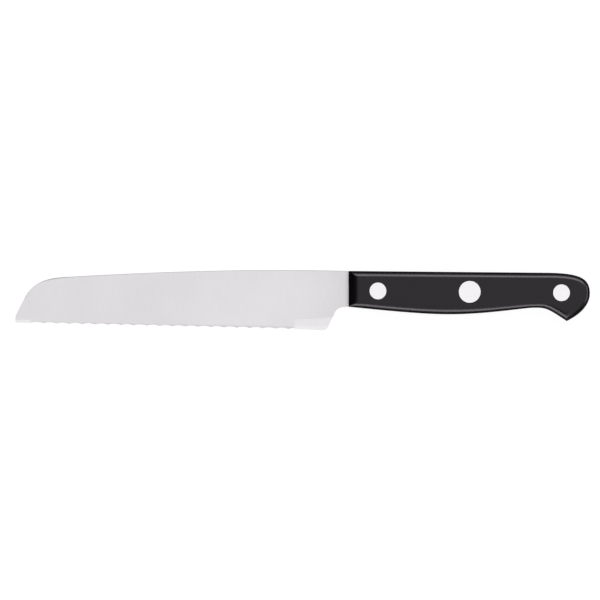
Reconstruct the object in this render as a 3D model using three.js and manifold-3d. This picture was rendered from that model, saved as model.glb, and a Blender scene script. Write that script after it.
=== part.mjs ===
// Serrated utility knife: a full-tang blade, two riveted handle scales and three two-piece rivets.
// Millimetres. The knife lies on its right scale: +X runs from the point to the butt, +Y from the
// cutting edge to the spine and +Z from the right side to the left side, which carries the edge grind.
// Inside the knife group x = 0 is the front of the handle, y = 0 the spine there and z = 0 the middle
// of the sheet; the group is then moved so that the origin lies under the middle of the whole knife.
import * as THREE from "three";
import { mergeVertices } from "three/addons/utils/BufferGeometryUtils.js";
import Module from "manifold-3d";

const wasm = await Module();
wasm.setup();

// Blade outline. Depths are measured down from the spine at the handle.
const bladeLength = 138.6; // point to the front of the handle
const spineCrown = 1.55; // height of the control point that arches the spine
const spineCrownShare = 0.42; // its share of the way from the handle to the nose
const spineDrop = 2.5; // how far the spine has fallen where the nose begins
const noseLength = 20.3; // from the point back to the start of the nose curve
const noseFlankHeight = 9.85; // from the cutting edge up to the end of the straight flank
const noseLean = 27; // degrees the flank leans back from upright
const pointFace = 2.85; // height of the short upright face at the point
const pointDepth = 21.5; // depth of the cutting edge at the point
const heelDepth = 24.53; // depth of the cutting edge at the heel
const heelSetback = 9.3; // from the handle to the corner of the heel
const heelLift = 2.6; // length of edge over which the heel corner turns up
const choilSetback = 4.5; // from the handle to the corner behind the heel

// Sheet and grind
const sheetThickness = 1.6;
const spineRelief = 0.2; // ground off each side at the spine by the handle
const pointThickness = 0.76; // at the spine, projected to the point
const heelEdgeThickness = 0.5; // behind the cutting edge at the heel
const grindRunout = 18; // from the handle to where the flat grind begins to run out
const grindWheelRadius = 800;

// Cutting edge, ground on the left side only. Angles are in degrees to the right side.
const plainAngle = 6.3; // of the bevels at the point and the heel
const honeAngle = 8.6; // of the finer bevel along their edge
const honeHeight = 1.4; // of that finer bevel
const scallopAngle = 25.5;
const plainAtPoint = 6.4; // unserrated length behind the point
const plainAtHeel = 13.1; // unserrated length in front of the heel
const scallopPitch = 5.35; // nominal; whole scallops and a half one by the heel fill the serrated length
const scallopDepth = 0.45;
const grindAllowance = 0.3; // stamped below the finished edge and ground away
const grindOverlap = 0.05; // of the plain bevels over the ends of the serration

// Handle outline. Depths are measured down from the spine at the handle.
const handleLength = 100.3;
const frontHeight = 14.9;
const bellyFromFront = 42;
const bellyDepth = 18.02;
const notchFromButt = 23;
const notchDepth = 15.3;
const beakFromButt = 9.6;
const beakDepth = 20.83;
const notchRun = 5.1; // level stretch behind the notch before the front of the beak falls
const buttLean = 26; // degrees the back of the beak rises
const buttDepth = 9.3; // where the butt reaches furthest back
const shoulderFromButt = 18.3; // where the straight top begins to turn into the butt
const shoulderDepth = 0.72;

// Handle scales
const scaleThickness = 6.2;
const roundSlope = 38; // degrees, the steepest slope of the crowned edge of the outer face
const roundEase = 0.08; // share of that edge's width in which it turns down into the wall
const topRound = 2.4; // width of the edge, seen from the side
const bellyRound = 2.67;
const notchRound = 1.95;
const beakRound = 3;
const buttRound = 2;
const frontRound = 4.2;

// Rivets: a solid pin pressed into a sleeve, each with a head that is ground flush
const rivetFromFront = 12.2;
const rivetFromButt = 11.8;
const frontRivetDepth = 8.3;
const rearRivetDepth = 9.05;
const rivetHeadDiameter = 7.1;
const middleHeadDiameter = 9.2;
const rivetHeadThickness = 2.2;
const pinDiameter = 3.2;
const sleeveWall = 0.75;

// Clearances
const seatGap = 0.05; // between each scale and the tang
const rivetFit = 0.06; // around the rivets, on the radius
const rivetEndGap = 0.3; // at the blind ends of the pin and the sleeve

// Smoothness of curves
const curveSteps = 12;
const scallopSteps = 5; // in each half of a scallop
const roundSteps = 5; // over the crown of a scale's edge
const easeSteps = 2; // down into its wall
const turnSteps = 28;
const smoothTurn = 0.05; // sine of the turn below which two edges count as one smooth edge

const halfSheet = sheetThickness / 2;
const scaleInside = halfSheet + seatGap;
const scaleFace = scaleInside + scaleThickness;
const radians = THREE.MathUtils.degToRad;
const at = (x, y) => new THREE.Vector2(x, y);

// Solids for cutting

function solidOf(geometry) {
  const bare = new THREE.BufferGeometry();
  bare.setAttribute("position", geometry.getAttribute("position"));
  bare.setIndex(geometry.getIndex());
  const merged = mergeVertices(bare, 1e-5);
  return new wasm.Manifold(
    new wasm.Mesh({
      numProp: 3,
      vertProperties: merged.getAttribute("position").array,
      triVerts: new Uint32Array(merged.getIndex().array),
    }),
  );
}

function geometryOf(solid) {
  const mesh = solid.getMesh();
  const geometry = new THREE.BufferGeometry();
  geometry.setAttribute("position", new THREE.BufferAttribute(mesh.vertProperties, 3));
  geometry.setIndex(new THREE.BufferAttribute(mesh.triVerts, 1));
  geometry.computeVertexNormals();
  return geometry;
}

// A round cutter along Z between two heights
function drill(centre, radius, low, high) {
  const cutter = new THREE.CylinderGeometry(radius, radius, high - low, turnSteps);
  cutter.rotateX(Math.PI / 2);
  cutter.translate(centre.x, centre.y, (low + high) / 2);
  return solidOf(cutter);
}

// A profile of X and Z swept along Y, as a grinding wheel sweeps: it fills the space outside the profile
function wheel(profile, sweep, steps) {
  const swept = new THREE.ExtrudeGeometry(profile, {
    depth: sweep,
    bevelEnabled: false,
    curveSegments: steps,
  });
  swept.rotateX(Math.PI / 2);
  return swept.translate(0, sweep / 2, 0);
}

// Outlines

// A curve that turns the corner between two straight lines; a fullness of 1 hugs the corner
function cornerCurve(start, corner, end, fullness) {
  return new THREE.CubicBezierCurve(
    start,
    start.clone().lerp(corner, fullness),
    end.clone().lerp(corner, fullness),
    end,
  );
}

// Handle outline, counterclockwise from the lower front corner
const frontTop = at(0, 0);
const frontBottom = at(0, -frontHeight);
const belly = at(bellyFromFront, -bellyDepth);
const notch = at(handleLength - notchFromButt, -notchDepth);
const beak = at(handleLength - beakFromButt, -beakDepth);
const butt = at(handleLength, -buttDepth);
const shoulder = at(handleLength - shoulderFromButt, -shoulderDepth);

const bellyReach = 0.72; // share of the way to the belly where the lower front line would meet it
const bellyFullness = 0.75;
const gripFlow = 0.44; // share of the grip that the belly's curve flows along
const notchFlow = 0.13; // and the notch's curve
const notchFullness = 0.97;
const heelOfHandFullness = 0.65;
const shoulderFullness = 0.766;

const grip = notch.x - belly.x;
const notchCorner = at(notch.x + notchRun, notch.y);
const buttCorner = at(butt.x, beak.y + beakFromButt * Math.tan(radians(buttLean)));
const shoulderSlope = shoulderDepth / shoulder.x;
const shoulderCorner = at(butt.x, -shoulderSlope * butt.x);

const handleEdges = [
  {
    curve: cornerCurve(frontBottom, at(bellyReach * belly.x, belly.y), belly, bellyFullness),
    round: [bellyRound, bellyRound],
  },
  {
    curve: new THREE.CubicBezierCurve(
      belly,
      at(belly.x + gripFlow * grip, belly.y),
      at(notch.x - notchFlow * grip, notch.y),
      notch,
    ),
    round: [bellyRound, notchRound],
  },
  { curve: cornerCurve(notch, notchCorner, beak, notchFullness), round: [notchRound, beakRound] },
  { curve: cornerCurve(beak, buttCorner, butt, heelOfHandFullness), round: [beakRound, buttRound] },
  { curve: cornerCurve(butt, shoulderCorner, shoulder, shoulderFullness), round: [buttRound, topRound] },
  { curve: new THREE.LineCurve(shoulder, frontTop), round: [topRound, topRound] },
  { curve: new THREE.LineCurve(frontTop, frontBottom), round: [frontRound, frontRound] },
];

// Blade outline, from the upper front corner of the handle round the point to the lower one.
// The finished cutting edge is one straight line from the point to the heel corner.
const edgeSlope = (heelDepth - pointDepth) / (bladeLength - heelSetback);
const edgeDepth = (x) => pointDepth + edgeSlope * (x + bladeLength);
const stampedEdge = (x) => at(x, -edgeDepth(x) - grindAllowance);

const noseFullness = 0.73;
const heelFullness = 0.75;
const heelTurn = 0.16; // share of the heel's back that its lower corner rounds off
const choilFullness = 0.6;
const choilTurn = 0.2; // share that its upper corner rounds off

const noseStart = at(noseLength - bladeLength, -spineDrop);
const spineControl = at(spineCrownShare * noseStart.x, spineCrown);
const flankTop = at(
  (noseFlankHeight - pointFace) * Math.tan(radians(noseLean)) - bladeLength,
  noseFlankHeight - pointDepth,
);
const flankFoot = at(-bladeLength, pointFace - pointDepth);
const heelStart = stampedEdge(-heelSetback - heelLift);
const heelCorner = stampedEdge(-heelSetback);
const choilCorner = at(-choilSetback, -frontHeight);
const heelTop = heelCorner.clone().lerp(choilCorner, heelTurn);
const choilFoot = choilCorner.clone().lerp(heelCorner, choilTurn);
const choilEnd = choilCorner.clone().lerp(frontBottom, 1 - choilTurn);

// Where two lines meet, each given by a point and a direction
function meeting(point, direction, otherPoint, otherDirection) {
  const between = otherPoint.clone().sub(point);
  return point
    .clone()
    .addScaledVector(direction, between.cross(otherDirection) / direction.cross(otherDirection));
}

const noseCorner = meeting(
  flankTop,
  flankTop.clone().sub(flankFoot),
  noseStart,
  noseStart.clone().sub(spineControl),
);

const bladeEdges = [
  new THREE.QuadraticBezierCurve(frontTop, spineControl, noseStart),
  cornerCurve(noseStart, noseCorner, flankTop, noseFullness),
  new THREE.LineCurve(flankTop, flankFoot),
  new THREE.LineCurve(flankFoot, stampedEdge(-bladeLength)),
  new THREE.LineCurve(stampedEdge(-bladeLength), heelStart),
  cornerCurve(heelStart, heelCorner, heelTop, heelFullness),
  new THREE.LineCurve(heelTop, choilFoot),
  cornerCurve(choilFoot, choilCorner, choilEnd, choilFullness),
  new THREE.LineCurve(choilEnd, frontBottom),
];

// Rivets: front, middle and rear, in a straight row
const frontRivet = at(rivetFromFront, -frontRivetDepth);
const rearRivet = at(handleLength - rivetFromButt, -rearRivetDepth);
const rivets = [
  { name: "front_rivet", centre: frontRivet, headRadius: rivetHeadDiameter / 2 },
  {
    name: "middle_rivet",
    centre: frontRivet.clone().lerp(rearRivet, 0.5),
    headRadius: middleHeadDiameter / 2,
  },
  { name: "rear_rivet", centre: rearRivet, headRadius: rivetHeadDiameter / 2 },
];
const pinRadius = pinDiameter / 2;
const boreRadius = pinRadius + rivetFit;
const sleeveRadius = boreRadius + sleeveWall;

// Blade and tang

// Half the thickness left by the flat grind, which tapers towards the point and towards the edge
const halfAtHandle = halfSheet - spineRelief;
const taperAlong = (halfAtHandle - pointThickness / 2) / bladeLength;
const taperAcross =
  (halfAtHandle - taperAlong * heelSetback - heelEdgeThickness / 2) / heelDepth;
const groundHalf = (x, y) => halfAtHandle + taperAlong * x + taperAcross * y;

function stampedBlank() {
  const outline = new THREE.Path();
  outline.curves = [
    ...handleEdges.slice(0, -1).map((edge) => edge.curve),
    ...bladeEdges,
  ];
  const blank = new THREE.Shape(outline.getPoints(curveSteps));
  const sheet = new THREE.ExtrudeGeometry(blank, { depth: sheetThickness, bevelEnabled: false });
  return solidOf(sheet.translate(0, 0, -halfSheet));
}

// The flat grind of both sides, which runs out towards the handle along the rim of the wheel
function flatGrind(side) {
  const reach = sheetThickness;
  const rimTurn = Math.acos(1 - reach / grindWheelRadius);
  const profile = new THREE.Shape();
  profile.moveTo(-2 * bladeLength, reach);
  profile.lineTo(-2 * bladeLength, 0);
  profile.lineTo(0, 0);
  profile.absarc(0, grindWheelRadius, grindWheelRadius, -Math.PI / 2, rimTurn - Math.PI / 2);
  const tilt = Math.atan(taperAcross);
  const place = new THREE.Matrix4()
    .makeRotationX(side > 0 ? tilt : Math.PI - tilt)
    .multiply(new THREE.Matrix4().makeRotationY(-Math.atan(taperAlong)))
    .setPosition(-grindRunout, 0, side * groundHalf(-grindRunout, 0));
  return solidOf(wheel(profile, 4 * heelDepth, curveSteps).applyMatrix4(place));
}

// The finished edge on the right side, where all the edge grinds meet it
const edgeStart = new THREE.Vector3(-bladeLength, -pointDepth, -groundHalf(-bladeLength, -pointDepth));
const edgeEnd = new THREE.Vector3(-heelSetback, -heelDepth, -groundHalf(-heelSetback, -heelDepth));
const edgeLength = edgeStart.distanceTo(edgeEnd);
const serratedEnd = edgeLength - plainAtHeel;

// Leans a wheel against the edge. Its profile is drawn along the edge, from the point.
function leanedWheel(profile, angle) {
  const lean = radians(angle);
  const along = edgeEnd.clone().sub(edgeStart).normalize();
  const outward = new THREE.Vector3()
    .crossVectors(along, new THREE.Vector3(0, Math.cos(lean), Math.sin(lean)))
    .normalize();
  const place = new THREE.Matrix4()
    .makeBasis(along, new THREE.Vector3().crossVectors(outward, along), outward)
    .setPosition(edgeStart);
  return solidOf(wheel(profile, 2 * heelDepth, scallopSteps).applyMatrix4(place));
}

// The plain bevel between two places on the edge, and the finer one along its foot
function plainGrind(start, end) {
  const reach = heelDepth / 2;
  const wheelFrom = (base) =>
    new THREE.Shape([at(start, reach), at(start, base), at(end, base), at(end, reach)]);
  const lift = honeHeight * Math.sin(radians(honeAngle - plainAngle));
  return leanedWheel(wheelFrom(lift), plainAngle).add(leanedWheel(wheelFrom(0), honeAngle));
}

// The serration: a row of round ribs on the wheel, each of which grinds one scallop. The last rib is
// cut off half way, where the plain bevel of the heel begins.
function scallopGrind() {
  const serrated = serratedEnd - plainAtPoint;
  const count = Math.max(1, Math.floor(serrated / scallopPitch));
  const pitch = serrated / (count + 0.5);
  const sagitta = scallopDepth * Math.sin(radians(scallopAngle));
  const radius = (pitch * pitch / 4 + sagitta * sagitta) / (2 * sagitta);
  const halfTurn = Math.asin(pitch / 2 / radius);
  const reach = heelDepth / 2;

  const profile = new THREE.Shape();
  profile.moveTo(plainAtPoint, reach);
  profile.lineTo(plainAtPoint, 0);
  for (let i = 0; i <= count; i++) {
    const middle = plainAtPoint + (i + 0.5) * pitch;
    const pastMiddle = i < count ? halfTurn : 0;
    profile.absarc(
      middle,
      radius - sagitta,
      radius,
      -Math.PI / 2 - halfTurn,
      -Math.PI / 2 + pastMiddle,
    );
  }
  profile.lineTo(serratedEnd, reach);
  return leanedWheel(profile, scallopAngle);
}

function bladeGeometry() {
  let blade = stampedBlank();
  for (const side of [1, -1]) blade = blade.subtract(flatGrind(side));
  blade = blade
    .subtract(plainGrind(-heelSetback, plainAtPoint + grindOverlap))
    .subtract(scallopGrind())
    .subtract(plainGrind(serratedEnd - grindOverlap, edgeLength + heelSetback));
  for (const { centre } of rivets) {
    blade = blade.subtract(drill(centre, sleeveRadius + rivetFit, -sheetThickness, sheetThickness));
  }
  return geometryOf(blade);
}

// Handle scales

// How far inside the outline the flat face's corner lies, between two edges with their own rounding
function insetBetween(before, after) {
  const turn = before.normal.cross(after.normal);
  if (Math.abs(turn) < smoothTurn) return after.normal.clone().multiplyScalar(after.round);
  return at(
    (before.round * after.normal.y - after.round * before.normal.y) / turn,
    (after.round * before.normal.x - before.round * after.normal.x) / turn,
  );
}

// The outline as points that know how far in the rounded edge reaches there, and how deep it is
function outlinePoints() {
  const sample = ({ curve, round }, share) => {
    const tangent = curve.getTangent(share);
    return {
      normal: at(-tangent.y, tangent.x),
      round: THREE.MathUtils.lerp(round[0], round[1], share),
    };
  };
  return handleEdges.flatMap((edge, i) => {
    const previous = handleEdges.at(i - 1);
    const steps = edge.curve.isLineCurve ? 1 : curveSteps;
    return Array.from({ length: steps }, (_, step) => {
      const after = sample(edge, step / steps);
      const before = step ? after : sample(previous, 1);
      return {
        point: edge.curve.getPoint(step / steps),
        inset: insetBetween(before, after),
        depth: Math.min(before.round, after.round),
      };
    });
  });
}

// The rounded edge from the wall to the flat face, in shares of its width: how far in from the wall
// and how far below the face. A tight rounding leaves the wall and a wide crown leads on to the face.
function roundProfile() {
  const slope = radians(roundSlope);
  const crown = (1 - roundEase * (1 - Math.sin(slope))) / Math.sin(slope);
  const crownDrop = crown * (1 - Math.cos(slope));
  const profile = [];
  for (let i = 0; i < easeSteps; i++) {
    const tilt = THREE.MathUtils.lerp(Math.PI / 2, slope, i / easeSteps);
    profile.push({
      share: roundEase * (1 - Math.sin(tilt)),
      drop: crownDrop + roundEase * (Math.cos(slope) - Math.cos(tilt)),
    });
  }
  for (let i = 0; i <= roundSteps; i++) {
    const tilt = slope * (1 - i / roundSteps);
    profile.push({ share: 1 - crown * Math.sin(tilt), drop: crown * (1 - Math.cos(tilt)) });
  }
  return profile;
}

// A scale is lofted from its outline at the tang, up a straight wall and over the rounded edge to the
// smaller outline of its flat face.
function scaleLoft() {
  const outline = outlinePoints();
  const positions = [];
  const addRing = (share, heightOver) => {
    for (const { point, inset, depth } of outline) {
      const moved = point.clone().addScaledVector(inset, share);
      positions.push(moved.x, moved.y, heightOver(depth));
    }
  };
  addRing(0, () => scaleInside);
  const profile = roundProfile();
  for (const { share, drop } of profile) addRing(share, (depth) => scaleFace - drop * depth);

  const size = outline.length;
  const rings = profile.length + 1;
  const faces = [];
  for (let level = 0; level < rings - 1; level++) {
    for (let i = 0; i < size; i++) {
      const a = level * size + i;
      const b = level * size + ((i + 1) % size);
      faces.push(a, b, b + size, a, b + size, a + size);
    }
  }
  const corner = (i) => at(positions[3 * i], positions[3 * i + 1]);
  const contour = (level) => outline.map((_, i) => corner(level * size + i));
  const topStart = (rings - 1) * size;
  for (const [a, b, c] of THREE.ShapeUtils.triangulateShape(contour(0), [])) faces.push(a, c, b);
  for (const [a, b, c] of THREE.ShapeUtils.triangulateShape(contour(rings - 1), [])) {
    faces.push(topStart + a, topStart + b, topStart + c);
  }
  const loft = new THREE.BufferGeometry();
  loft.setAttribute("position", new THREE.Float32BufferAttribute(positions, 3));
  loft.setIndex(faces);
  return loft;
}

// Each rivet has a through hole for its sleeve and a counterbore for its head
function scaleGeometry() {
  let scale = solidOf(scaleLoft());
  const headSeat = scaleFace - rivetHeadThickness;
  for (const { centre, headRadius } of rivets) {
    scale = scale
      .subtract(drill(centre, sleeveRadius + rivetFit, 0, 2 * scaleFace))
      .subtract(drill(centre, headRadius + rivetFit, headSeat - seatGap, 2 * scaleFace));
  }
  return geometryOf(scale);
}

// Rivets. Profiles run along Y from the blind end to the outer face of the head at y = 0.
// Each half reaches from its own outer face to just short of the other head.

const rivetLength = 2 * scaleFace - rivetHeadThickness - rivetEndGap;

function turned(profile, towards) {
  return new THREE.LatheGeometry(profile, turnSteps).rotateX(towards * Math.PI / 2);
}

function pinGeometry(headRadius) {
  const lead = pinRadius / 4; // tapered to enter the sleeve
  return turned(
    [
      at(0, -rivetLength),
      at(pinRadius - lead, -rivetLength),
      at(pinRadius, lead - rivetLength),
      at(pinRadius, -rivetHeadThickness),
      at(headRadius, -rivetHeadThickness),
      at(headRadius, 0),
      at(0, 0),
    ],
    1,
  );
}

function sleeveGeometry(headRadius) {
  return turned(
    [
      at(0, -rivetHeadThickness),
      at(boreRadius, -rivetHeadThickness),
      at(boreRadius, -rivetLength),
      at(sleeveRadius, -rivetLength),
      at(sleeveRadius, -rivetHeadThickness),
      at(headRadius, -rivetHeadThickness),
      at(headRadius, 0),
      at(0, 0),
    ],
    -1,
  );
}

// Assembly

const steel = new THREE.MeshStandardMaterial({ color: 0xdddadd, roughness: 0.3, metalness: 1 });
const polymer = new THREE.MeshStandardMaterial({ color: 0x1d1c1d, roughness: 0.35, metalness: 0 });
const rivetMetal = new THREE.MeshStandardMaterial({ color: 0xf0eef0, roughness: 0.2, metalness: 1 });

function named(name, geometry, material) {
  const mesh = new THREE.Mesh(geometry, material);
  mesh.name = name;
  return mesh;
}

const knife = new THREE.Group();
knife.add(named("blade", bladeGeometry(), steel));

const scale = scaleGeometry();
const leftScale = named("left_scale", scale, polymer);
const rightScale = named("right_scale", scale, polymer);
rightScale.scale.z = -1;
knife.add(leftScale, rightScale);

for (const { name, centre, headRadius } of rivets) {
  const rivet = new THREE.Group();
  rivet.position.set(centre.x, centre.y, 0);
  const pin = named(`${name}_pin`, pinGeometry(headRadius), rivetMetal);
  pin.position.z = scaleFace;
  const sleeve = named(`${name}_sleeve`, sleeveGeometry(headRadius), rivetMetal);
  sleeve.position.z = -scaleFace;
  rivet.add(pin, sleeve);
  knife.add(rivet);
}

const extent = new THREE.Box3().setFromObject(knife);
const middle = extent.getCenter(new THREE.Vector3());
knife.position.set(-middle.x, -middle.y, -extent.min.z);

const part = new THREE.Group();
part.add(knife);
export default part;
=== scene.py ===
# %% [markdown]
# # A serrated utility knife
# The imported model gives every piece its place: a blade with a full tang, two handle scales and three
# two-piece rivets. This lesson dresses that frame with finer pieces, finishes and studio light.
# Each piece is drawn in millimetres, as a cutler would, and moved into the frame at the end.

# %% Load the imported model
import math

import bmesh
import bpy
from mathutils import Matrix, Vector
from mathutils.geometry import interpolate_bezier


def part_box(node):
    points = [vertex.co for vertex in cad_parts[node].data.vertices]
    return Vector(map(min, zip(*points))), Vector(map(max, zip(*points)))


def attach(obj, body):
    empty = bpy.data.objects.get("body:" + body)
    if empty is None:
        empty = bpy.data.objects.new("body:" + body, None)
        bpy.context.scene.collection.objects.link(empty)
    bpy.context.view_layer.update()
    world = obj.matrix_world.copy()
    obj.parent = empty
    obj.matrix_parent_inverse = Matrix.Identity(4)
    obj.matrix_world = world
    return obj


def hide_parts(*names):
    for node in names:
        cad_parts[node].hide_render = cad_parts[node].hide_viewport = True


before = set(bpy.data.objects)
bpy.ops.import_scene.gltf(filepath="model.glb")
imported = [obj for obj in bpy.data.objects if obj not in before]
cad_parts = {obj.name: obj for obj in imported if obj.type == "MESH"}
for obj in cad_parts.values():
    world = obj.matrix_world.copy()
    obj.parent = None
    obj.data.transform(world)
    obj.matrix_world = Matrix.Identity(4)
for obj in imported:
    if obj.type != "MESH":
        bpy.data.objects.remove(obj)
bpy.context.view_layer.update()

print("nodes:", sorted(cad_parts))

# %% [markdown]
# ## The bench drawing
# On the bench drawing x = 0 is the front of the handle, y = 0 the spine there and z = 0 the middle of
# the sheet. The point lies towards -x and the left side, which the camera sees, towards +z. Lengths
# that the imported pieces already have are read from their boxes, so the drawing can't drift from them.

# %% Bench drawing
MM = 0.001
scale_low, scale_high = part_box("left_scale")
blade_low, blade_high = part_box("blade")
bench_origin = Vector((scale_low.x, scale_high.y, (blade_low.z + blade_high.z) / 2))
to_frame = Matrix.Translation(bench_origin) @ Matrix.Scale(MM, 4)

blade_length = (scale_low.x - blade_low.x) / MM
handle_length = (scale_high.x - scale_low.x) / MM
half_sheet = (blade_high.z - blade_low.z) / 2 / MM
scale_inside = (scale_low.z - bench_origin.z) / MM
scale_face = (scale_high.z - bench_origin.z) / MM
print(f"blade {blade_length:.1f} mm, handle {handle_length:.1f} mm, half thickness {scale_face:.2f} mm")

# %% [markdown]
# ## The outline of the handle
# The handle has a straight top, a belly for the fingers, a notch and a beak that stops the hand. An
# outline like this is a chain of spans. A span turns one corner, and its fullness says how closely the
# curve hugs that corner, which is easier to judge than free curve handles.

# %% Handle outline


def at(x, y):
    return Vector((x, y, 0))


def flowing(start, leave, arrive, end, steps):
    """Points along a curve, without its last one, which is the next span's first."""
    return interpolate_bezier(start, leave, arrive, end, steps + 1)[:-1]


def turning(start, corner, end, fullness, steps):
    return flowing(start, start.lerp(corner, fullness), end.lerp(corner, fullness), end, steps)


front_top = at(0, 0)
front_bottom = at(0, -14.9)
belly = at(42, -18.02)
under_corner = at(30.2, belly.y)
notch = at(handle_length - 23, -15.3)
notch_corner = at(notch.x + 5.1, notch.y)
beak = at(handle_length - 9.6, -20.83)
beak_rise = math.radians(26)
butt = at(handle_length, -9.3)
butt_corner = at(butt.x, beak.y + (butt.x - beak.x) * math.tan(beak_rise))
shoulder = at(handle_length - 18.3, -0.72)
shoulder_corner = shoulder * (butt.x / shoulder.x)
grip = notch.x - belly.x
grip_leave = belly + at(0.44 * grip, 0)
grip_arrive = notch - at(0.13 * grip, 0)

# A turning span ends with its fullness and its number of steps
handle_spans = {
    "under front": turning(front_bottom, under_corner, belly, 0.75, 10),
    "grip": flowing(belly, grip_leave, grip_arrive, notch, 24),
    "beak front": turning(notch, notch_corner, beak, 0.97, 16),
    "beak back": turning(beak, butt_corner, butt, 0.65, 12),
    "butt": turning(butt, shoulder_corner, shoulder, 0.766, 32),
    "top": [shoulder],
    "front": [front_top],
}
print("handle outline:", {name: len(points) for name, points in handle_spans.items()})

# %% [markdown]
# ## The outline of the blade
# The blade starts at the handle's upper front corner. Its spine arches slightly and falls to a rounded
# sheep-foot nose, a leaning flank and a short upright face at the point. The blank is stamped a little
# too deep along the edge, because grinding takes that allowance away. Behind the heel a small curve
# leads back to the handle.

# %% Blade outline
POINT_DEPTH = 21.5
HEEL_DEPTH = 24.53
HEEL_SETBACK = 9.3
HEEL_ROUND = 2.6
GRIND_ALLOWANCE = 0.3
NOSE_LENGTH = 20.3
NOSE_DROP = 2.5
SPINE_ARCH = 1.55
POINT_FACE = 2.85
FLANK_HEIGHT = 7.0
FLANK_LEAN = math.radians(27)
CHOIL_SETBACK = 4.5
# Places of the spine's control, the heel's top and the two ends of the choil, as shares of their spans
SPINE_CONTROL = 0.42
HEEL_TOP = 0.16
CHOIL_FOOT = 0.8
CHOIL_END = 0.8


def stamped_edge(x):
    fall = (HEEL_DEPTH - POINT_DEPTH) / (blade_length - HEEL_SETBACK)
    return at(x, -POINT_DEPTH - fall * (x + blade_length) - GRIND_ALLOWANCE)


nose_start = at(NOSE_LENGTH - blade_length, -NOSE_DROP)
spine_control = at(SPINE_CONTROL * nose_start.x, SPINE_ARCH)
point_foot = stamped_edge(-blade_length)
flank_foot = at(-blade_length, POINT_FACE - POINT_DEPTH)
flank_top = flank_foot + FLANK_HEIGHT * at(math.tan(FLANK_LEAN), 1)
flank = flank_top - flank_foot
spine_run = nose_start - spine_control
nose_reach = (flank_top - nose_start).cross(flank).z / spine_run.cross(flank).z
nose_corner = nose_start + nose_reach * spine_run
heel_start = stamped_edge(-HEEL_SETBACK - HEEL_ROUND)
heel_corner = stamped_edge(-HEEL_SETBACK)
choil_corner = at(-CHOIL_SETBACK, front_bottom.y)
heel_top = heel_corner.lerp(choil_corner, HEEL_TOP)
choil_foot = heel_corner.lerp(choil_corner, CHOIL_FOOT)
choil_end = choil_corner.lerp(front_bottom, CHOIL_END)

blade_spans = {
    "spine": turning(front_top, spine_control, nose_start, 2 / 3, 32),
    "nose": turning(nose_start, nose_corner, flank_top, 0.73, 32),
    "flank": [flank_top],
    "point": [flank_foot],
    "edge": [point_foot],
    "heel": turning(heel_start, heel_corner, heel_top, 0.75, 16),
    "heel back": [heel_top],
    "choil": turning(choil_foot, choil_corner, choil_end, 0.6, 16),
    "to handle": [choil_end],
}
print("blade outline:", {name: len(points) for name, points in blade_spans.items()})

# %% [markdown]
# ## Shared tools
# A profile is grown from one vertex: it runs straight to a place, or swings round a centre. Closed and
# swept sideways it becomes a solid. Cuts are made by the Boolean modifier, whose result is read back
# into a bmesh, so that bevels can still follow and no cutter stays in the scene.

# %% Shared tools
MERGE_DISTANCE = 1e-4


def run_to(bm, vert, x, z):
    grown = bmesh.ops.extrude_vert_indiv(bm, verts=[vert])["verts"][0]
    grown.co = (x, 0, z)
    return grown


def swing(bm, vert, centre, angle, steps):
    """Swings a profile's last vertex round a centre in the XZ plane, rising on the side of +x."""
    swung = bmesh.ops.spin(
        bm, geom=[vert], cent=centre, axis=(0, -1, 0), dvec=(0, 0, 0), angle=angle, steps=steps
    )
    return next(v for v in swung["geom_last"] if isinstance(v, bmesh.types.BMVert))


def sweep(bm, first, last, along):
    """Closes a profile and sweeps it into a solid."""
    bm.edges.new((last, first))
    face = bmesh.ops.contextual_create(bm, geom=bm.edges[:])["faces"]
    swept = bmesh.ops.extrude_face_region(bm, geom=face)["geom"]
    bmesh.ops.translate(bm, vec=along, verts=[v for v in swept if isinstance(v, bmesh.types.BMVert)])
    bmesh.ops.recalc_face_normals(bm, faces=bm.faces)


def as_object(name, bm):
    mesh = bpy.data.meshes.new(name)
    bm.to_mesh(mesh)
    bm.free()
    made = bpy.data.objects.new(name, mesh)
    bpy.context.scene.collection.objects.link(made)
    return made


def carve(bm, cutters):
    """Cuts the cutters away from a bmesh, frees them all and returns what is left as a new bmesh."""
    body = as_object("carving", bm)
    tools = [as_object("cutter", cutter) for cutter in cutters]
    for tool in tools:
        cut = body.modifiers.new("cut", "BOOLEAN")
        cut.operation = "DIFFERENCE"
        cut.solver = "EXACT"
        cut.object = tool
    carved = bmesh.new()
    carved.from_object(body, bpy.context.evaluated_depsgraph_get())
    for used in [body, *tools]:
        bpy.data.meshes.remove(used.data)
    bmesh.ops.remove_doubles(carved, verts=carved.verts, dist=MERGE_DISTANCE)
    bmesh.ops.dissolve_degenerate(carved, edges=carved.edges, dist=MERGE_DISTANCE)
    return carved


def place_piece(name, bm, material, node, sharp_from):
    """Moves a finished bmesh into the frame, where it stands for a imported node.

    An edge whose faces turn by sharp_from degrees or more is shaded as a sharp one.
    """
    bmesh.ops.transform(bm, matrix=to_frame, verts=bm.verts)
    for face in bm.faces:
        face.smooth = True
    for edge in bm.edges:
        edge.smooth = edge.is_manifold and edge.calc_face_angle() < math.radians(sharp_from)
    made = as_object(name, bm)
    made.data.materials.append(material)
    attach(made, "root")
    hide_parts(node)
    print(f"{name}: {len(made.data.polygons)} faces, stands for {node}")
    return made


# %% [markdown]
# ## Rivet places
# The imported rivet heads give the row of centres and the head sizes. Scales, tang and rivets all use
# these three places. A cutler's rivet is a solid pin pressed into a sleeve; both have a head that sits
# in a counterbore and is ground flush with the scale.

# %% Rivet places
HEAD_THICKNESS = 2.2
PIN_RADIUS = 1.6
RIVET_FIT = 0.06
SLEEVE_WALL = 0.75
SLEEVE_RADIUS = PIN_RADIUS + RIVET_FIT + SLEEVE_WALL
SEAT_GAP = 0.05
TURN_STEPS = 72


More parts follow.
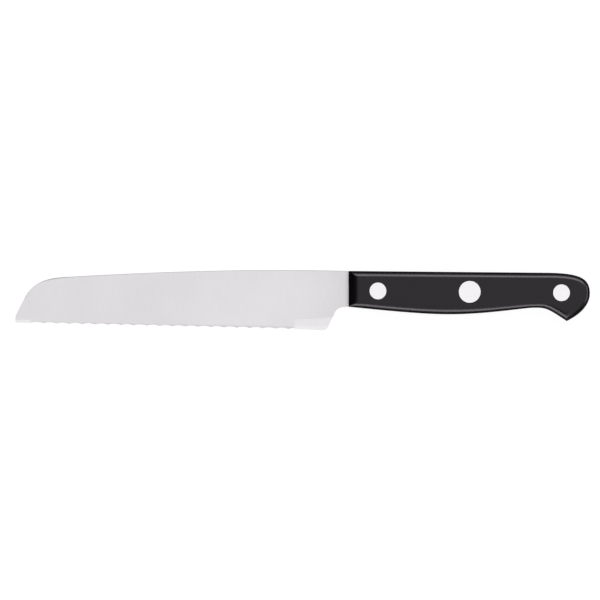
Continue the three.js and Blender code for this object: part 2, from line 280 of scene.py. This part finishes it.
def rivet_place(name):
    low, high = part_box(f"{name}_rivet_pin")
    centre = ((low + high) / 2 - bench_origin) / MM
    return at(centre.x, centre.y), (high.x - low.x) / 2 / MM


rivets = {name: rivet_place(name) for name in ("front", "middle", "rear")}


def turn(centre, profile):
    """Spins a profile of (radius, height) pairs, which starts and ends on the axis, round a rivet."""
    bm = bmesh.new()
    (start_radius, start_height), *further = profile
    last = bm.verts.new((start_radius, 0, start_height))
    for radius, height in further:
        last = run_to(bm, last, radius, height)
    bmesh.ops.spin(
        bm, geom=bm.verts[:] + bm.edges[:], cent=(0, 0, 0), axis=(0, 0, 1), dvec=(0, 0, 0),
        angle=2 * math.pi, steps=TURN_STEPS, use_merge=True,
    )
    bmesh.ops.remove_doubles(bm, verts=bm.verts, dist=MERGE_DISTANCE)
    bmesh.ops.recalc_face_normals(bm, faces=bm.faces)
    bmesh.ops.translate(bm, vec=centre, verts=bm.verts)
    return bm


def drills(low, high, step=None):
    """A drill for each rivet: the sleeve's hole, and from the step upwards the head's counterbore."""
    made = []
    for centre, head_radius in rivets.values():
        hole = SLEEVE_RADIUS + RIVET_FIT
        seat = head_radius + RIVET_FIT
        wide = [(hole, step), (seat, step), (seat, high)] if step else [(hole, high)]
        made.append(turn(centre, [(0, low), (hole, low), *wide, (0, high)]))
    return made


print("rivet heads:", {name: f"{2 * radius:.1f} mm" for name, (_, radius) in rivets.items()})

# %% [markdown]
# ## Adding nodes
# One small function adds a node, sets what it is given and links its inputs. Two shorter ones add the
# kinds that come most often. Colours are written as the screen shows them and turned to linear light
# once, in one place.

# %% Node helpers
NOISE_LOW = 0.3
NOISE_HIGH = 0.7


def linear(hex_colour):
    channels = [int(hex_colour[i:i + 2], 16) / 255 for i in (1, 3, 5)]
    return (*[c / 12.92 if c <= 0.04045 else ((c + 0.055) / 1.055) ** 2.4 for c in channels], 1)


def add(tree, kind, inputs=None, **settings):
    """Adds a node. Each input is a value, or a socket to link from."""
    node = tree.nodes.new(kind)
    for name, value in settings.items():
        setattr(node, name, value)
    for name, value in (inputs or {}).items():
        if isinstance(value, bpy.types.NodeSocket):
            tree.links.new(value, node.inputs[name])
        else:
            node.inputs[name].default_value = value
    return node


def maths(tree, operation, *values, **settings):
    inputs = dict(enumerate(values))
    return add(tree, "ShaderNodeMath", inputs, operation=operation, **settings).outputs["Value"]


def spread(tree, noise, low, high):
    """Spreads a noise, most of which lies between NOISE_LOW and NOISE_HIGH, over a range."""
    spreading = {"From Min": NOISE_LOW, "From Max": NOISE_HIGH, "To Min": low, "To Max": high}
    ranged = add(tree, "ShaderNodeMapRange", {"Value": noise.outputs["Fac"], **spreading})
    return ranged.outputs["Result"]


def new_material(name):
    material = bpy.data.materials.new(name)
    material.use_nodes = True
    tree = material.node_tree
    tree.nodes.clear()
    return material, tree


# %% [markdown]
# ## Satin-ground stainless steel
# The blade is martensitic stainless steel, ground flat and finished on a fine belt that runs from spine
# to edge. To the eye that is an even pale grey with a soft reflection, drawn out along the blade, and
# with faint upright hairlines. The hairlines are a few hundredths of a millimetre wide on the real
# blade; here they are drawn about 0.25 mm wide, or the render couldn't show them.

# %% Blade steel
HAIRLINE = 0.25 * MM


def satin_steel():
    material, tree = new_material("satin_stainless_steel")
    place = add(tree, "ShaderNodeTexCoord")
    stretch = add(
        tree, "ShaderNodeMapping",
        {"Vector": place.outputs["Object"], "Scale": (1 / HAIRLINE, 0.04 / HAIRLINE, 0.04 / HAIRLINE)},
    )
    hairlines = add(
        tree, "ShaderNodeTexNoise",
        {"Vector": stretch.outputs["Vector"], "Scale": 1, "Detail": 3, "Roughness": 0.6},
    )
    clouds = add(
        tree, "ShaderNodeTexNoise",
        {"Vector": place.outputs["Object"], "Scale": 1 / (25 * MM), "Detail": 2},
    )
    tint = add(
        tree, "ShaderNodeMix",
        {"Factor": hairlines.outputs["Fac"], "A": linear("#d8d6d8"), "B": linear("#e2e0e2")},
        data_type="RGBA",
    )
    rough = spread(tree, clouds, 0.28, 0.33)
    bump = add(
        tree, "ShaderNodeBump",
        {"Height": hairlines.outputs["Fac"], "Strength": 0.04, "Distance": 0.02 * MM},
    )
    steel = add(
        tree, "ShaderNodeBsdfPrincipled",
        {
            "Base Color": tint.outputs["Result"],
            "Metallic": 1.0,
            "Roughness": rough,
            "Normal": bump.outputs["Normal"],
        },
    )
    add(tree, "ShaderNodeOutputMaterial", {"Surface": steel.outputs["BSDF"]})
    return material


blade_steel = satin_steel()
print("made", blade_steel.name)

# %% [markdown]
# ## Black acetal
# The scales are moulded in black acetal, a dense, slightly waxy plastic, then ground to the tang and
# polished. The eye gets a deep black with a soft, even sheen and long soft highlights on the rounded
# edges. A very fine grain breaks the sheen.

# %% Handle polymer


def black_acetal():
    material, tree = new_material("black_acetal")
    place = add(tree, "ShaderNodeTexCoord")
    grain = add(
        tree, "ShaderNodeTexNoise",
        {"Vector": place.outputs["Object"], "Scale": 1 / (0.35 * MM), "Detail": 2},
    )
    clouds = add(
        tree, "ShaderNodeTexNoise",
        {"Vector": place.outputs["Object"], "Scale": 1 / (18 * MM), "Detail": 3},
    )
    tint = add(
        tree, "ShaderNodeMix",
        {"Factor": clouds.outputs["Fac"], "A": linear("#040304"), "B": linear("#060506")},
        data_type="RGBA",
    )
    rough = spread(tree, clouds, 0.2, 0.23)
    bump = add(
        tree, "ShaderNodeBump",
        {"Height": grain.outputs["Fac"], "Strength": 0.05, "Distance": 0.01 * MM},
    )
    acetal = add(
        tree, "ShaderNodeBsdfPrincipled",
        {
            "Base Color": tint.outputs["Result"],
            "Roughness": rough,
            "IOR": 1.48,
            "Specular IOR Level": 0.38,
            "Specular Tint": (1, 0.93, 1, 1),
            "Normal": bump.outputs["Normal"],
        },
    )
    add(tree, "ShaderNodeOutputMaterial", {"Surface": acetal.outputs["BSDF"]})
    return material


handle_polymer = black_acetal()
print("made", handle_polymer.name)

# %% [markdown]
# ## Polished rivet steel
# The rivet heads are ground flush with the scales and polished with them, so they are the brightest
# metal on the knife. Faint lines from the belt run along the handle.

# %% Rivet metal


def polished_rivet():
    material, tree = new_material("polished_stainless_rivet")
    place = add(tree, "ShaderNodeTexCoord")
    stretch = add(
        tree, "ShaderNodeMapping",
        {"Vector": place.outputs["Object"], "Scale": (0.05 / HAIRLINE, 1 / HAIRLINE, 1 / HAIRLINE)},
    )
    lines = add(
        tree, "ShaderNodeTexNoise",
        {"Vector": stretch.outputs["Vector"], "Scale": 1, "Detail": 3},
    )
    tint = add(
        tree, "ShaderNodeMix",
        {"Factor": lines.outputs["Fac"], "A": linear("#dedcde"), "B": linear("#e8e6e8")},
        data_type="RGBA",
    )
    rough = spread(tree, lines, 0.2, 0.26)
    metal = add(
        tree, "ShaderNodeBsdfPrincipled",
        {"Base Color": tint.outputs["Result"], "Metallic": 1.0, "Roughness": rough},
    )
    add(tree, "ShaderNodeOutputMaterial", {"Surface": metal.outputs["BSDF"]})
    return material


rivet_metal = polished_rivet()
print("made", rivet_metal.name)

# %% [markdown]
# ## Grinding the blade
# The stamped blank is one flat sheet. Both sides are ground on a large wheel to a slow taper towards
# the point and the edge. Near the handle the wheel lifts off, and its rim leaves a shallow hollow that
# runs out into the full sheet.

# %% Blade blank and flat grind
GRIND_DEPTH = 0.2
POINT_HALF = 0.38
EDGE_HALF = 0.25
GRIND_RUNOUT = 18.0
GRIND_WHEEL = 800.0
RUNOUT_STEPS = 40

handle_half = half_sheet - GRIND_DEPTH
taper_along = (handle_half - POINT_HALF) / blade_length
taper_across = (handle_half - taper_along * HEEL_SETBACK - EDGE_HALF) / HEEL_DEPTH


def ground_half(x, y):
    """Half the thickness that the flat grind leaves."""
    return handle_half + taper_along * x + taper_across * y


def stamped_blank():
    bm = bmesh.new()
    spans = [span for name, span in handle_spans.items() if name != "front"]
    points = [p for span in [*spans, *blade_spans.values()] for p in span]
    bm.faces.new([bm.verts.new(p) for p in points])
    top = bmesh.ops.extrude_face_region(bm, geom=bm.faces[:])["geom"]
    bmesh.ops.translate(
        bm, vec=(0, 0, 2 * half_sheet), verts=[v for v in top if isinstance(v, bmesh.types.BMVert)]
    )
    bmesh.ops.translate(bm, vec=(0, 0, -half_sheet), verts=bm.verts)
    bmesh.ops.recalc_face_normals(bm, faces=bm.faces)
    return bm


def flat_wheel(side):
    """A wheel leaned against one side (1 left, -1 right), whose rim lifts off near the handle."""
    bm = bmesh.new()
    reach = 2 * half_sheet
    width = 4 * HEEL_DEPTH
    start = -2 * blade_length
    first = bm.verts.new((start, 0, 0))
    last = run_to(bm, first, 0, 0)
    rim_turn = math.acos(1 - reach / GRIND_WHEEL)
    last = swing(bm, last, (0, 0, GRIND_WHEEL), rim_turn, RUNOUT_STEPS)
    last = run_to(bm, last, start, reach)
    sweep(bm, first, last, (0, width, 0))
    centred = Matrix.Translation((0, -width / 2, 0))
    lean_along = Matrix.Rotation(-math.atan(taper_along), 4, "Y")
    lean = Matrix.Rotation(math.atan(taper_across), 4, "X") @ lean_along
    seat = Matrix.Translation((-GRIND_RUNOUT, 0, ground_half(-GRIND_RUNOUT, 0)))
    flip = Matrix.Scale(side, 4, (0, 0, 1))
    bmesh.ops.transform(bm, matrix=flip @ seat @ lean @ centred, verts=bm.verts)
    bmesh.ops.recalc_face_normals(bm, faces=bm.faces)
    return bm


blade_bm = carve(stamped_blank(), [flat_wheel(1), flat_wheel(-1)])
print("ground blank:", len(blade_bm.faces), "faces")

# %% [markdown]
# ## The cutting edge
# The edge is ground on the left side only. A plain wheel grinds a tall, slender bevel at the point and
# at the heel, and a finer, steeper bevel hones its foot. Between them a wheel dressed with a row of
# round ribs leans more steeply still: where a rib comes through the sheet it leaves a scallop, and
# between two ribs stands a tooth. The last rib is cut off half way, where the heel's bevel begins. Each
# wheel is a profile grown along the edge, swept across it and leaned into place.

# %% Edge grind
PLAIN_ANGLE = math.radians(6.3)
HONE_ANGLE = math.radians(8.6)
HONE_HEIGHT = 1.4
SCALLOP_ANGLE = math.radians(25.5)
PLAIN_AT_POINT = 6.4
PLAIN_AT_HEEL = 13.1
SCALLOP_PITCH = 5.35
SCALLOP_DEPTH = 0.45
RIB_STEPS = 20
OVERLAP = 0.05

edge_start = Vector((-blade_length, -POINT_DEPTH, -ground_half(-blade_length, -POINT_DEPTH)))
edge_end = Vector((-HEEL_SETBACK, -HEEL_DEPTH, -ground_half(-HEEL_SETBACK, -HEEL_DEPTH)))
edge_length = (edge_end - edge_start).length
serrated_end = edge_length - PLAIN_AT_HEEL


def lean_wheel(bm, first, last, angle):
    """Closes a profile of the wheel, sweeps it and leans it against the edge."""
    reach = HEEL_DEPTH / 2
    top = run_to(bm, last, last.co.x, reach)
    top = run_to(bm, top, first.co.x, reach)
    sweep(bm, first, top, (0, 2 * HEEL_DEPTH, 0))
    along = (edge_end - edge_start).normalized()
    outward = along.cross(Vector((0, math.cos(angle), math.sin(angle)))).normalized()
    turned = Matrix((along, outward.cross(along), outward)).transposed().to_4x4()
    centred = Matrix.Translation((0, -HEEL_DEPTH, 0))
    bmesh.ops.transform(bm, matrix=Matrix.Translation(edge_start) @ turned @ centred, verts=bm.verts)
    return bm


def plain_wheel(start, end, angle, lift):
    bm = bmesh.new()
    first = bm.verts.new((start, 0, lift))
    return lean_wheel(bm, first, run_to(bm, first, end, lift), angle)


def serrating_wheel():
    count = math.floor((serrated_end - PLAIN_AT_POINT) / SCALLOP_PITCH)
    pitch = (serrated_end - PLAIN_AT_POINT) / (count + 0.5)
    sagitta = SCALLOP_DEPTH * math.sin(SCALLOP_ANGLE)
    rib = (pitch ** 2 / 4 + sagitta ** 2) / (2 * sagitta)
    rib_turn = 2 * math.asin(pitch / 2 / rib)
    print(f"{count} scallops and a half, {pitch:.2f} mm apart, ribs of {rib:.1f} mm radius")
    bm = bmesh.new()
    first = last = bm.verts.new((PLAIN_AT_POINT, 0, 0))
    for i in range(count + 1):
        middle = PLAIN_AT_POINT + (i + 0.5) * pitch
        whole = 1 if i < count else 0.5
        last = swing(bm, last, (middle, 0, rib - sagitta), whole * rib_turn, round(whole * RIB_STEPS))
    return lean_wheel(bm, first, last, SCALLOP_ANGLE)


wheels = [serrating_wheel()]
hone_lift = HONE_HEIGHT * math.sin(HONE_ANGLE - PLAIN_ANGLE)
for start, end in (
    (-HEEL_SETBACK, PLAIN_AT_POINT + OVERLAP),
    (serrated_end - OVERLAP, edge_length + HEEL_SETBACK),
):
    wheels.append(plain_wheel(start, end, PLAIN_ANGLE, hone_lift))
    wheels.append(plain_wheel(start, end, HONE_ANGLE, 0))
blade_bm = carve(blade_bm, [*wheels, *drills(-2 * half_sheet, 2 * half_sheet)])

# %% [markdown]
# ## Easing the spine and the nose
# A stamped and ground spine is sharp enough to hurt, so its corners are eased on a belt, and those of
# the nose a little more. Only corners between a ground side and an upright wall on the spine's side get
# this bevel; the flank, the point and the edge stay as ground. The belt lies rather flat on the blade.
# A bevel cuts a square corner evenly, so the blade is stretched in thickness first and pressed back
# afterwards, which lays the bevel over to the belt's tilt.

# %% Eased corners and the blade
SPINE_EASE = 0.25
NOSE_EASE = 0.42
EASE_TILT = math.radians(25)
# How level a wall's normal is, how far it faces the spine's side, and how upright a ground side's is
WALL_LEVEL = 0.1
WALL_FACING_SPINE = 0.5
SIDE_UPWARD = 0.9
BLADE_SHARP_FROM = 2.0


def is_eased(edge):
    if not edge.is_manifold:
        return False
    wall, side = sorted((face.normal for face in edge.link_faces), key=lambda normal: abs(normal.z))
    upright = abs(wall.z) < WALL_LEVEL and wall.y > WALL_FACING_SPINE
    return upright and abs(side.z) > SIDE_UPWARD


def ease_corners(bm, start, end, width):
    """Bevels the corners of the spine's side that lie between two places along the knife."""
    bm.normal_update()
    corners = []
    for edge in bm.edges:
        middle = (edge.verts[0].co + edge.verts[1].co) / 2
        if start < middle.x < end and is_eased(edge):
            corners.append(edge)
    print(f"easing {sum(edge.calc_length() for edge in corners):.0f} mm of corners, {width} mm wide")
    bmesh.ops.bevel(
        bm, geom=corners, offset=width, offset_type="OFFSET", segments=1, profile=0.5,
        affect="EDGES", material=-1, clamp_overlap=False,
    )


thickening = 1 / math.tan(EASE_TILT)
bmesh.ops.scale(blade_bm, vec=(1, 1, thickening), verts=blade_bm.verts)
ease_corners(blade_bm, -blade_length, nose_start.x, NOSE_EASE)
ease_corners(blade_bm, nose_start.x, 0, SPINE_EASE)
bmesh.ops.scale(blade_bm, vec=(1, 1, 1 / thickening), verts=blade_bm.verts)
blade_bm.normal_update()
blade = place_piece("blade_steel", blade_bm, blade_steel, "blade", BLADE_SHARP_FROM)
steel_pieces = [blade]

# %% [markdown]
# ## The handle scales
# A scale is a slab with a crowned outer rim: a tight rounding leaves the wall, and a wide, flat arc
# leads on to the face. The rim is wider along the belly than in the notch. A plain bevel has one width,
# so the outline is extruded ring by ring instead: up the straight wall, then inwards over the rim, whose
# width changes from span to span.

# %% Scale rim
ROUND_SLOPE = math.radians(38)
ROUND_EASE = 0.08
ROUND_STEPS = 14
EASE_STEPS = 4
SEAM_EASE = 0.1
SEAM_SHARE = 0.05
LANDING = 1.12
CORNER_TURN = 0.2
ROUND_WIDTHS = {
    "under front": (2.67, 2.9),
    "grip": (2.9, 2.15),
    "beak front": (2.15, 3.0),
    "beak back": (3.0, 2.0),
    "butt": (2.0, 2.4),
    "top": (2.4, 2.7),
    "front": (4.2, 4.2),
}


def round_profile():
    """The rim from the wall to the face, in shares of its width: how far in and how far down."""
    crown = (1 - ROUND_EASE * (1 - math.sin(ROUND_SLOPE))) / math.sin(ROUND_SLOPE)
    crown_drop = crown * (1 - math.cos(ROUND_SLOPE))
    profile = []
    for step in range(EASE_STEPS):
        tilt = math.pi / 2 + (ROUND_SLOPE - math.pi / 2) * step / EASE_STEPS
        drop = crown_drop + ROUND_EASE * (math.cos(ROUND_SLOPE) - math.cos(tilt))
        profile.append((ROUND_EASE * (1 - math.sin(tilt)), drop))
    for step in range(ROUND_STEPS + 1):
        tilt = ROUND_SLOPE * (1 - step / ROUND_STEPS)
        profile.append((1 - crown * math.sin(tilt), crown * (1 - math.cos(tilt))))
    return profile


def scale_rim():
    """Points of the outline, each with the width of the rounding before and after it."""
    rim = []
    widths_before = ROUND_WIDTHS["front"]
    for name, points in handle_spans.items():
        start, end = ROUND_WIDTHS[name]
        for i, point in enumerate(points):
            after = start + (end - start) * i / len(points)
            rim.append((point, after if i else widths_before[1], after))
        widths_before = ROUND_WIDTHS[name]
    return rim


def insets(rim):
    """How far each point moves inwards to reach the flat face.

    Where the outline turns by a sine of CORNER_TURN or more, the two roundings meet on their mitre.
    """
    made = []
    for i, (point, width_before, width_after) in enumerate(rim):
        before = (point - rim[i - 1][0]).normalized()
        after = (rim[(i + 1) % len(rim)][0] - point).normalized()
        normals = [Vector((-d.y, d.x, 0)) for d in (before, after)]
        turned = normals[0].cross(normals[1]).z
        if abs(turned) < CORNER_TURN:
            made.append((normals[0] + normals[1]).normalized() * width_after)
            continue
        made.append(
            Vector((
                (width_before * normals[1].y - width_after * normals[0].y) / turned,
                (width_after * normals[0].x - width_before * normals[1].x) / turned,
                0,
            ))
        )
    return made


print(f"scale rim: {len(scale_rim())} points, {len(round_profile())} rings from the wall to the face")

# %% [markdown]
# ## Growing a scale
# The first ring is the eased seam on the tang. Each further ring is extruded from the one before, and
# every new vertex keeps the number of the outline point that it came from. The sharp mitres, at the
# front and at the beak, are then eased, and the rivet holes are drilled. The right scale is the mirror
# image of the left one.

# %% Scale solids
CORNER_EASE = {"under front": 0.3, "beak back": 0.7, "front": 0.3}
MITRE_STEPS = 4
SCALE_SHARP_FROM = 30


def grow_rim(bm, edges, mark, places):
    """Extrudes the rim and moves each new vertex to the place of the outline point that it came from."""
    grown = bmesh.ops.extrude_edge_only(bm, edges=edges)["geom"]
    for vert in grown:
        if isinstance(vert, bmesh.types.BMVert):
            vert.co = places[vert[mark]]
    return [edge for edge in grown if isinstance(edge, bmesh.types.BMEdge)]


def scale_solid():
    rim = scale_rim()
    inward = insets(rim)
    up = Vector((0, 0, 1))
    rings = [
        [point + SEAM_SHARE * move + scale_inside * up for (point, *_), move in zip(rim, inward)],
        [point + (scale_inside + SEAM_EASE) * up for point, *_ in rim],
    ]
    for share, drop in [*round_profile(), (LANDING, 0)]:
        ring = []
        for (point, *widths), move in zip(rim, inward):
            ring.append(point + share * move + (scale_face - drop * min(widths)) * up)
        rings.append(ring)
    bm = bmesh.new()
    mark = bm.verts.layers.int.new("rim")
    first = [bm.verts.new(place) for place in rings[0]]
    for i, vert in enumerate(first):
        vert[mark] = i
    edges = [bm.edges.new((first[i - 1], vert)) for i, vert in enumerate(first)]
    bmesh.ops.contextual_create(bm, geom=edges)
    for ring in rings[1:]:
        edges = grow_rim(bm, edges, mark, ring)
    bmesh.ops.contextual_create(bm, geom=edges)
    bmesh.ops.recalc_face_normals(bm, faces=bm.faces)
    return bm, mark


def eased_scale():
    """A scale whose mitres are eased at the corners where the named spans start."""
    bm, mark = scale_solid()
    names = list(handle_spans)
    for name, width in CORNER_EASE.items():
        number = sum(len(handle_spans[earlier]) for earlier in names[:names.index(name)])
        mitre = [edge for edge in bm.edges if all(vert[mark] == number for vert in edge.verts)]
        bmesh.ops.bevel(
            bm, geom=mitre, offset=width, offset_type="OFFSET", segments=MITRE_STEPS, profile=0.5,
            affect="EDGES", material=-1, clamp_overlap=True,
        )
    return carve(bm, drills(0, 2 * scale_face, scale_face - HEAD_THICKNESS - SEAT_GAP))


left_bm = eased_scale()
right_bm = left_bm.copy()
bmesh.ops.scale(right_bm, vec=(1, 1, -1), verts=right_bm.verts)
bmesh.ops.reverse_faces(right_bm, faces=right_bm.faces)
scales = []
for side, scale_bm in (("left", left_bm), ("right", right_bm)):
    node = f"{side}_scale"
    scale = place_piece(
        f"{node}_acetal", scale_bm, handle_polymer, node, SCALE_SHARP_FROM
    )
    scales.append(scale)

# %% [markdown]
# ## The rivets
# Each half is turned on a lathe, so its profile is spun once round. The heads get a narrow chamfer
# where the polishing belt has eased them.

# %% Rivets
RIVET_END_GAP = 0.3
HEAD_EASE = 0.08
RIVET_SHARP_FROM = 25
rivet_length = 2 * scale_face - HEAD_THICKNESS - RIVET_END_GAP


def head_top(radius):
    return [(radius, -HEAD_THICKNESS), (radius, -HEAD_EASE), (radius - HEAD_EASE, 0), (0, 0)]


def pin_profile(radius):
    lead = PIN_RADIUS / 4
    shank = [(0, -rivet_length), (PIN_RADIUS - lead, -rivet_length), (PIN_RADIUS, lead - rivet_length)]
    return [*shank, (PIN_RADIUS, -HEAD_THICKNESS), *head_top(radius)]


def sleeve_profile(radius):
    bore = PIN_RADIUS + RIVET_FIT
    inside = [(0, -HEAD_THICKNESS), (bore, -HEAD_THICKNESS), (bore, -rivet_length)]
    outside = [(SLEEVE_RADIUS, -rivet_length), (SLEEVE_RADIUS, -HEAD_THICKNESS)]
    return [*inside, *outside, *head_top(radius)]


for name, (centre, head_radius) in rivets.items():
    pin = turn(centre, [(r, h + scale_face) for r, h in pin_profile(head_radius)])
    sleeve = turn(centre, [(r, -h - scale_face) for r, h in sleeve_profile(head_radius)])
    for half, half_bm in (("pin", pin), ("sleeve", sleeve)):
        node = f"{name}_rivet_{half}"
        rivet_half = place_piece(
            f"{name}_{half}_steel", half_bm, rivet_metal, node, RIVET_SHARP_FROM
        )
        steel_pieces.append(rivet_half)

# %% [markdown]
# ## The studio
# The photograph looks straight down on the knife, which lies in a light tent. An even sheet hangs
# overhead, dim cards stand low in the four corners, and the pale room shows round the foot of the tent.
# All of it is written in the world by direction, so every part of the long blade sees the same sky.

# %% World light
# The sheet has a level, a share by its lean across the knife (degrees from overhead, - on the edge's
# side) and a share along it (sine of the lean, - towards the point).
OVERHEAD_SHEET = (
    1.13,
    [(-34, 0), (-24, 1), (16, 1), (50, 0.8), (56, 0)],
    [(-0.22, 0), (-0.12, 0.15), (-0.02, 1), (0.2, 1), (0.4, 0.1), (0.6, 0.1), (0.7, 0)],
)
# The corner cards go by the square of x times y, which is largest in the corners, low down.
CORNER_CARDS = (0.18, [(0.04, 0.05), (0.1, 0.75), (0.18, 1)])
LARGEST_SQUARE = 0.25
# The room goes by the sine of the height.
ROOM_GLOW = (0.75, [(0, 1), (0.3, 1), (0.42, 0)])
SKY_TINT = (1, 0.995, 1, 1)


def graded(tree, value, low, high, stops):
    """A share that follows a value through its stops."""
    scaled = add(tree, "ShaderNodeMapRange", {"Value": value, "From Min": low, "From Max": high})
    ramp = add(tree, "ShaderNodeValToRGB", {"Fac": scaled.outputs["Result"]})
    elements = ramp.color_ramp.elements
    while len(elements) < len(stops):
        elements.new(0.5)
    for element, (where, share) in zip(elements, stops):
        element.position = (where - low) / (high - low)
        element.color = (share, share, share, 1)
    return ramp.outputs["Color"]


def studio_sky():
    world = bpy.data.worlds.new("light_tent")
    world.use_nodes = True
    bpy.context.scene.world = world
    tree = world.node_tree
    tree.nodes.clear()
    place = add(tree, "ShaderNodeTexCoord")
    axes = add(tree, "ShaderNodeSeparateXYZ", {"Vector": place.outputs["Generated"]})
    x, y, z = (axes.outputs[axis] for axis in "XYZ")
    level, stops = CORNER_CARDS
    corner = maths(tree, "MULTIPLY", x, y)
    square = maths(tree, "MULTIPLY", corner, corner)
    total = maths(tree, "MULTIPLY", graded(tree, square, 0, LARGEST_SQUARE, stops), level)
    level, stops = ROOM_GLOW
    total = maths(tree, "MULTIPLY_ADD", graded(tree, z, 0, 1, stops), level, total)
    level, across, along = OVERHEAD_SHEET
    lean = maths(tree, "DEGREES", maths(tree, "ARCTAN2", y, z))
    sheet = maths(tree, "MULTIPLY", graded(tree, lean, -90, 90, across), graded(tree, x, -1, 1, along))
    total = maths(tree, "MULTIPLY_ADD", sheet, level, total)
    sky = add(tree, "ShaderNodeBackground", {"Color": SKY_TINT, "Strength": total})
    add(tree, "ShaderNodeOutputWorld", {"Surface": sky.outputs["Background"]})
    print(f"made {world.name}: overhead sheet, corner cards and room glow")


studio_sky()

# %% [markdown]
# ## Lamps for the handle and for the steel
# Black plastic and bright steel are lit apart. The plastic needs thin, strong strips, which draw the
# lines along its rounded edges and would burn the steel out. The steel needs dim white cards to mirror:
# one overhead, one where the edge's bevels look, one low on the spine's side, and a ring of them for
# views from all round. They would fog the plastic. Light linking keeps the two apart: each lamp has a
# collection of receivers and lights nothing else.

# %% Linked lamps
LAMP_DISTANCE = 2.0
# Watts per square metre that make an area lamp as bright as a world of level 1
LEVEL_WATTS = 4
# Each lamp's lean across the knife, lean along it, spread across and along (all in degrees) and level
HANDLE_STRIPS = {
    "edge_side_strip": (-37, -6, 18, 45, 5.0),
    "spine_side_strip": (24, 7.5, 17, 35, 4.9),
    "butt_strip": (0, 39, 36, 7.5, 5.5),
}
STEEL_CARDS = {
    "overhead_card": (0, 0, 50, 50, 0.215),
    "bevel_card": (-31, 0, 18, 60, 0.8),
    "spine_card": (61, 0, 14, 50, 0.75),
}
RING_CARD = (50, 0, 28, 31, 0.8)
RING_PLACES = 8


def lit_only(name, pieces):
    receivers = bpy.data.collections.new(name)
    for piece in pieces:
        receivers.objects.link(piece)
    return receivers


def hang_lamp(name, placing, receivers, heading=0):
    """Hangs a lamp that faces the knife, turned round the upright axis, and links it to its receivers."""
    *degrees, level = placing
    lean, lean_along, across, along = (math.radians(angle) for angle in degrees)
    upward = math.cos(lean_along)
    towards = Vector((math.sin(lean_along), upward * math.sin(lean), upward * math.cos(lean)))
    side = towards.cross((1, 0, 0)).normalized()
    lamp = bpy.data.lights.new(name, "AREA")
    lamp.shape = "RECTANGLE"
    lamp.size = 2 * LAMP_DISTANCE * math.tan(along / 2)
    lamp.size_y = 2 * LAMP_DISTANCE * math.tan(across / 2)
    lamp.energy = LEVEL_WATTS * level * lamp.size * lamp.size_y
    hung = bpy.data.objects.new(name, lamp)
    turned = Matrix((side.cross(towards), side, towards)).transposed().to_4x4()
    placed = Matrix.Translation(LAMP_DISTANCE * towards) @ turned
    hung.matrix_world = Matrix.Rotation(heading, 4, "Z") @ placed
    hung.visible_camera = False
    hung.light_linking.receiver_collection = receivers
    bpy.context.scene.collection.objects.link(hung)


lit_plastic = lit_only("lit_plastic", scales)
for name, placing in HANDLE_STRIPS.items():
    hang_lamp(name, placing, lit_plastic)
lit_steel = lit_only("lit_steel", steel_pieces)
for name, placing in STEEL_CARDS.items():
    hang_lamp(name, placing, lit_steel)
# The ring's first place, on the spine's side, stays empty: the overhead sheet already reaches it.
for i in range(1, RING_PLACES):
    hang_lamp(f"ring_card_{i}", RING_CARD, lit_steel, 2 * math.pi * i / RING_PLACES)
card_count = len(STEEL_CARDS) + RING_PLACES - 1
print(f"{len(HANDLE_STRIPS)} strips for the plastic, {card_count} cards for the steel")

# %% [markdown]
# ## The floor
# A plain white floor lies under the right scale. The camera, and any metal that mirrors it, sees it as
# bright as the white sweep in a studio; a share of plain diffuse white keeps the knife's soft shadow.

# %% Floor
FLOOR_HALF = 4.0
FLOOR_GAP = 0.05 * MM
FLOOR_LEVEL = 0.93
FLOOR_DIFFUSE = 0.3


def white_floor():
    material, tree = new_material("white_sweep")
    path = add(tree, "ShaderNodeLightPath")
    seen = maths(tree, "ADD", path.outputs["Is Camera Ray"], path.outputs["Is Glossy Ray"])
    seen = maths(tree, "ADD", seen, path.outputs["Is Transmission Ray"], use_clamp=True)
    glow = maths(tree, "MULTIPLY", seen, FLOOR_LEVEL)
    white = add(tree, "ShaderNodeEmission", {"Color": (1, 1, 1, 1), "Strength": glow})
    paper = add(tree, "ShaderNodeBsdfDiffuse", {"Color": (*[FLOOR_DIFFUSE] * 3, 1)})
    both = add(tree, "ShaderNodeAddShader", {0: white.outputs["Emission"], 1: paper.outputs["BSDF"]})
    add(tree, "ShaderNodeOutputMaterial", {"Surface": both.outputs["Shader"]})
    bm = bmesh.new()
    bmesh.ops.create_grid(bm, x_segments=1, y_segments=1, size=FLOOR_HALF)
    bmesh.ops.translate(bm, vec=(0, 0, -FLOOR_GAP), verts=bm.verts)
    made = as_object("floor", bm)
    made.data.materials.append(material)
    print(f"made {made.name}, {2 * FLOOR_HALF:.0f} m wide")


white_floor()

# %% [markdown]
# ## The camera
# A long lens from far above shows the knife almost without perspective. The frame's width and centre
# are the photograph's, in millimetres of the bench drawing.

# %% Camera
VIEW_WIDTH = 249.6
VIEW_CENTRE = at(-20.2, -12.06)
CAMERA_HEIGHT = 8.0
CAMERA_REACH = 100
SENSOR_WIDTH = 36

lens = bpy.data.cameras.new("product_lens")
lens.sensor_width = SENSOR_WIDTH
lens.lens = SENSOR_WIDTH * CAMERA_HEIGHT / (VIEW_WIDTH * MM)
lens.clip_end = CAMERA_REACH
camera = bpy.data.objects.new("product_camera", lens)
camera.location = to_frame @ VIEW_CENTRE + Vector((0, 0, CAMERA_HEIGHT))
bpy.context.scene.collection.objects.link(camera)
bpy.context.scene.camera = camera
bpy.context.scene.view_settings.view_transform = "Standard"
print(f"lens {lens.lens:.0f} mm")
